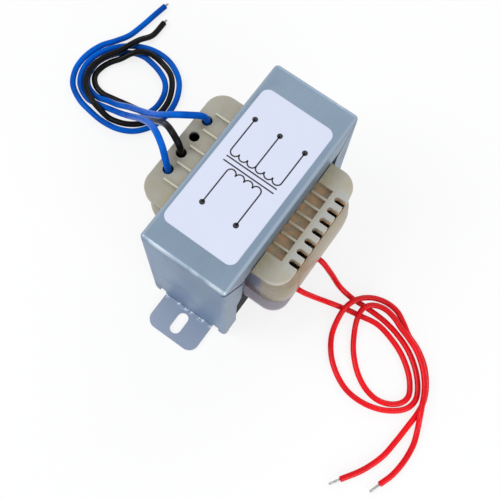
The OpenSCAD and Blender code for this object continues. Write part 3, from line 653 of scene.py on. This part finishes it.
def dress(piece, finish):
    """Give every face of a piece the finish."""
    piece.data.materials.clear()
    piece.data.materials.append(FINISHES[finish])


def dress_cad_nodes():
    """Give each CAD node its slot's finish, and the outer wrap a tape of its own."""
    slots = {row["node"]: row["material_slot"] for row in frame["record"]["subparts"]}
    own = {"outer_wrap": "wrap_tape"}
    for node, piece in frame["nodes"].items():
        dress(piece, own.get(node, slots[node]))


dress_cad_nodes()
for wire, end, slot in leads:
    dress(wire, slot)
    dress(end, "solder")


# ---- Label: the film and its print, a plain winding diagram ----

CORNER_STEPS = 10
PRINT_T = 0.02 * MM
LINE_W = 0.45 * MM
CORE_LINE_X = 0.8 * MM
CORE_LINE_END = 9 * MM
COIL_X = 3.2 * MM
LOOP_R = 1.5 * MM
LOOP_STEPS = 14
TERMINAL_X = 15 * MM
TERMINAL_R = 0.9 * MM
TERMINAL_SIDES = 24


def stuck_on(shape):
    """Turn and move a shape from the middle of the frame to where the label is stuck."""
    place = Matrix.Translation(LABEL_AT) @ Matrix.Rotation(LABEL_TURN, 4, "Z")
    bmesh.ops.transform(shape, matrix=place, verts=shape.verts)


def label_sheet():
    """The film: rounded corners and a rim that is a little worn down."""
    shape = bmesh.new()
    bmesh.ops.create_grid(shape, x_segments=1, y_segments=1, size=0.5)
    bmesh.ops.scale(shape, vec=(*LABEL_SIZE, 1), verts=shape.verts)
    bmesh.ops.bevel(
        shape, geom=shape.verts[:], offset=LABEL_R, affect="VERTICES", segments=CORNER_STEPS,
        profile=0.5, material=-1,
    )
    bmesh.ops.translate(shape, vec=(0, 0, label_low.z), verts=shape.verts)
    grown = bmesh.ops.extrude_face_region(shape, geom=shape.faces[:])["geom"]
    top = [v for v in grown if isinstance(v, bmesh.types.BMVert)]
    bmesh.ops.translate(shape, vec=(0, 0, label_high.z - label_low.z), verts=top)
    rim = [e for e in shape.edges if all(v.co.z > label_high.z - 0.01 * MM for v in e.verts)]
    bmesh.ops.bevel(
        shape, geom=rim, offset=LABEL_WORN, affect="EDGES", segments=2, profile=0.5, material=-1,
    )
    stuck_on(shape)
    bmesh.ops.recalc_face_normals(shape, faces=shape.faces)
    piece = piece_from(shape, "label_sheet")
    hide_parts("label")
    dress(piece, "label_film")


def bar(shape, x0, y0, x1, y1):
    """A flat printed bar between two corners."""
    size = Vector((abs(x1 - x0), abs(y1 - y0), PRINT_T))
    centre = Vector(((x0 + x1) / 2, (y0 + y1) / 2, label_high.z + PRINT_T / 2))
    matrix = Matrix.Translation(centre) @ Matrix.Diagonal((*size, 1))
    bmesh.ops.create_cube(shape, size=1, matrix=matrix)


def half_loop(shape, x, y, side):
    """A half ring, open towards the leads: one turn of a coil symbol."""
    start = Vector((x, y - LOOP_R, label_high.z + PRINT_T / 2))
    face = bmesh.ops.create_grid(shape, x_segments=1, y_segments=1, size=0.5)["verts"]
    turn = Matrix.Rotation(math.radians(90), 4, "Y")
    size = Matrix.Diagonal((LINE_W, LINE_W, PRINT_T, 1))
    flat = Matrix.Translation(start) @ size @ turn
    bmesh.ops.transform(shape, matrix=flat, verts=face)
    faces = list({f for v in face for f in v.link_faces})
    bmesh.ops.spin(
        shape, geom=faces, cent=(x, y, start.z), axis=(0, 0, side), angle=math.pi,
        steps=LOOP_STEPS, use_duplicate=False,
    )


def terminal(shape, x, y):
    """A dot at the end of a lead."""
    at = Matrix.Translation((x, y, label_high.z + PRINT_T / 2))
    bmesh.ops.create_cone(
        shape, cap_ends=True, segments=TERMINAL_SIDES, radius1=TERMINAL_R, radius2=TERMINAL_R,
        depth=PRINT_T, matrix=at,
    )


def coil_symbol(shape, x, y0, turns, side):
    """Turns in a row along Y, on one side of the core lines."""
    for i in range(turns):
        half_loop(shape, x, y0 + (2 * i + 1) * LOOP_R, side)


def lead_lines(shape, side, heights):
    """Lines from a coil, each to its own terminal."""
    for y in heights:
        ends = sorted((side * COIL_X, side * TERMINAL_X))
        bar(shape, ends[0], y - LINE_W / 2, ends[1], y + LINE_W / 2)
        terminal(shape, side * TERMINAL_X, y)


def label_print():
    """One winding on the input side, and two in a row on the output side."""
    shape = bmesh.new()
    half = LINE_W / 2
    for x in (-CORE_LINE_X, CORE_LINE_X):
        bar(shape, x - half, -CORE_LINE_END, x + half, CORE_LINE_END)
    coil_symbol(shape, -COIL_X, -4 * LOOP_R, 4, 1)
    coil_symbol(shape, COIL_X, -6 * LOOP_R, 3, -1)
    coil_symbol(shape, COIL_X, 0, 3, -1)
    lead_lines(shape, -1, (-4 * LOOP_R, 4 * LOOP_R))
    lead_lines(shape, 1, (-6 * LOOP_R, 0, 6 * LOOP_R))
    stuck_on(shape)
    bmesh.ops.recalc_face_normals(shape, faces=shape.faces)
    piece = piece_from(shape, "label_print")
    dress(piece, "label_ink")


label_sheet()
label_print()


# ---- Floor and light ----

FLOOR_SIZE = 40
FLOOR_GAP = 0.2 * MM
AIM_AT = Vector((0, 0, 0.03))


def make_floor():
    """A pale floor that shows a fifth of its own shading near the object, and fades to white."""
    bpy.ops.mesh.primitive_plane_add(size=FLOOR_SIZE, location=(0, 0, -FLOOR_GAP))
    floor = bpy.context.object
    floor.name = "floor"
    f = Finish("floor", Roughness=0.7)
    f.shader.inputs["Base Color"].default_value = (0.9, 0.9, 0.9, 1)
    x, y = f.axis("X"), f.axis("Y")
    far = f.band((x * x + y * y) ** 0.5, 0.2, 0.7)
    share = f.on_view() * (0.8 + far * 0.2)
    lit = Wire(f, f.shader.outputs[0])
    white = f.node("ShaderNodeEmission", values={"Color": (1, 1, 1), "Strength": 1})
    mixed = f.node("ShaderNodeMixShader", values={0: share, 1: lit, 2: white})
    f.link(f.output.inputs["Surface"], mixed)
    floor.data.materials.append(f.material)


def make_world():
    """Soft light from all round, which looks white."""
    world = bpy.data.worlds.new("studio")
    bpy.context.scene.world = world
    world.use_nodes = True
    n = Nodes(world.node_tree)
    soft = n.node("ShaderNodeBackground", values={"Color": (0.96, 0.98, 1), "Strength": 0.5})
    white = n.node("ShaderNodeBackground", values={"Color": (1, 1, 1), "Strength": 1})
    mixed = n.node("ShaderNodeMixShader", values={0: n.on_view(), 1: soft, 2: white})
    n.link(n.tree.nodes["World Output"].inputs["Surface"], mixed)


def softbox(name, at, size, power):
    """A square lamp, aimed at the middle of the transformer."""
    data = bpy.data.lights.new(name, "AREA")
    data.shape = "SQUARE"
    data.size = size
    data.energy = power
    lamp = bpy.data.objects.new(name, data)
    bpy.context.scene.collection.objects.link(lamp)
    lamp.location = at
    lamp.rotation_mode = "QUATERNION"
    lamp.rotation_quaternion = (AIM_AT - Vector(at)).to_track_quat("-Z", "Y")


make_floor()
make_world()
softbox("key", (-0.35, 0.45, 0.7), size=0.5, power=3.3)
softbox("fill", (-0.3, -0.6, 0.4), size=0.6, power=2.7)
softbox("back", (0.6, 0.1, 0.45), size=0.5, power=1.3)

bpy.context.scene.view_settings.view_transform = "Standard"

bpy.context.view_layer.update()
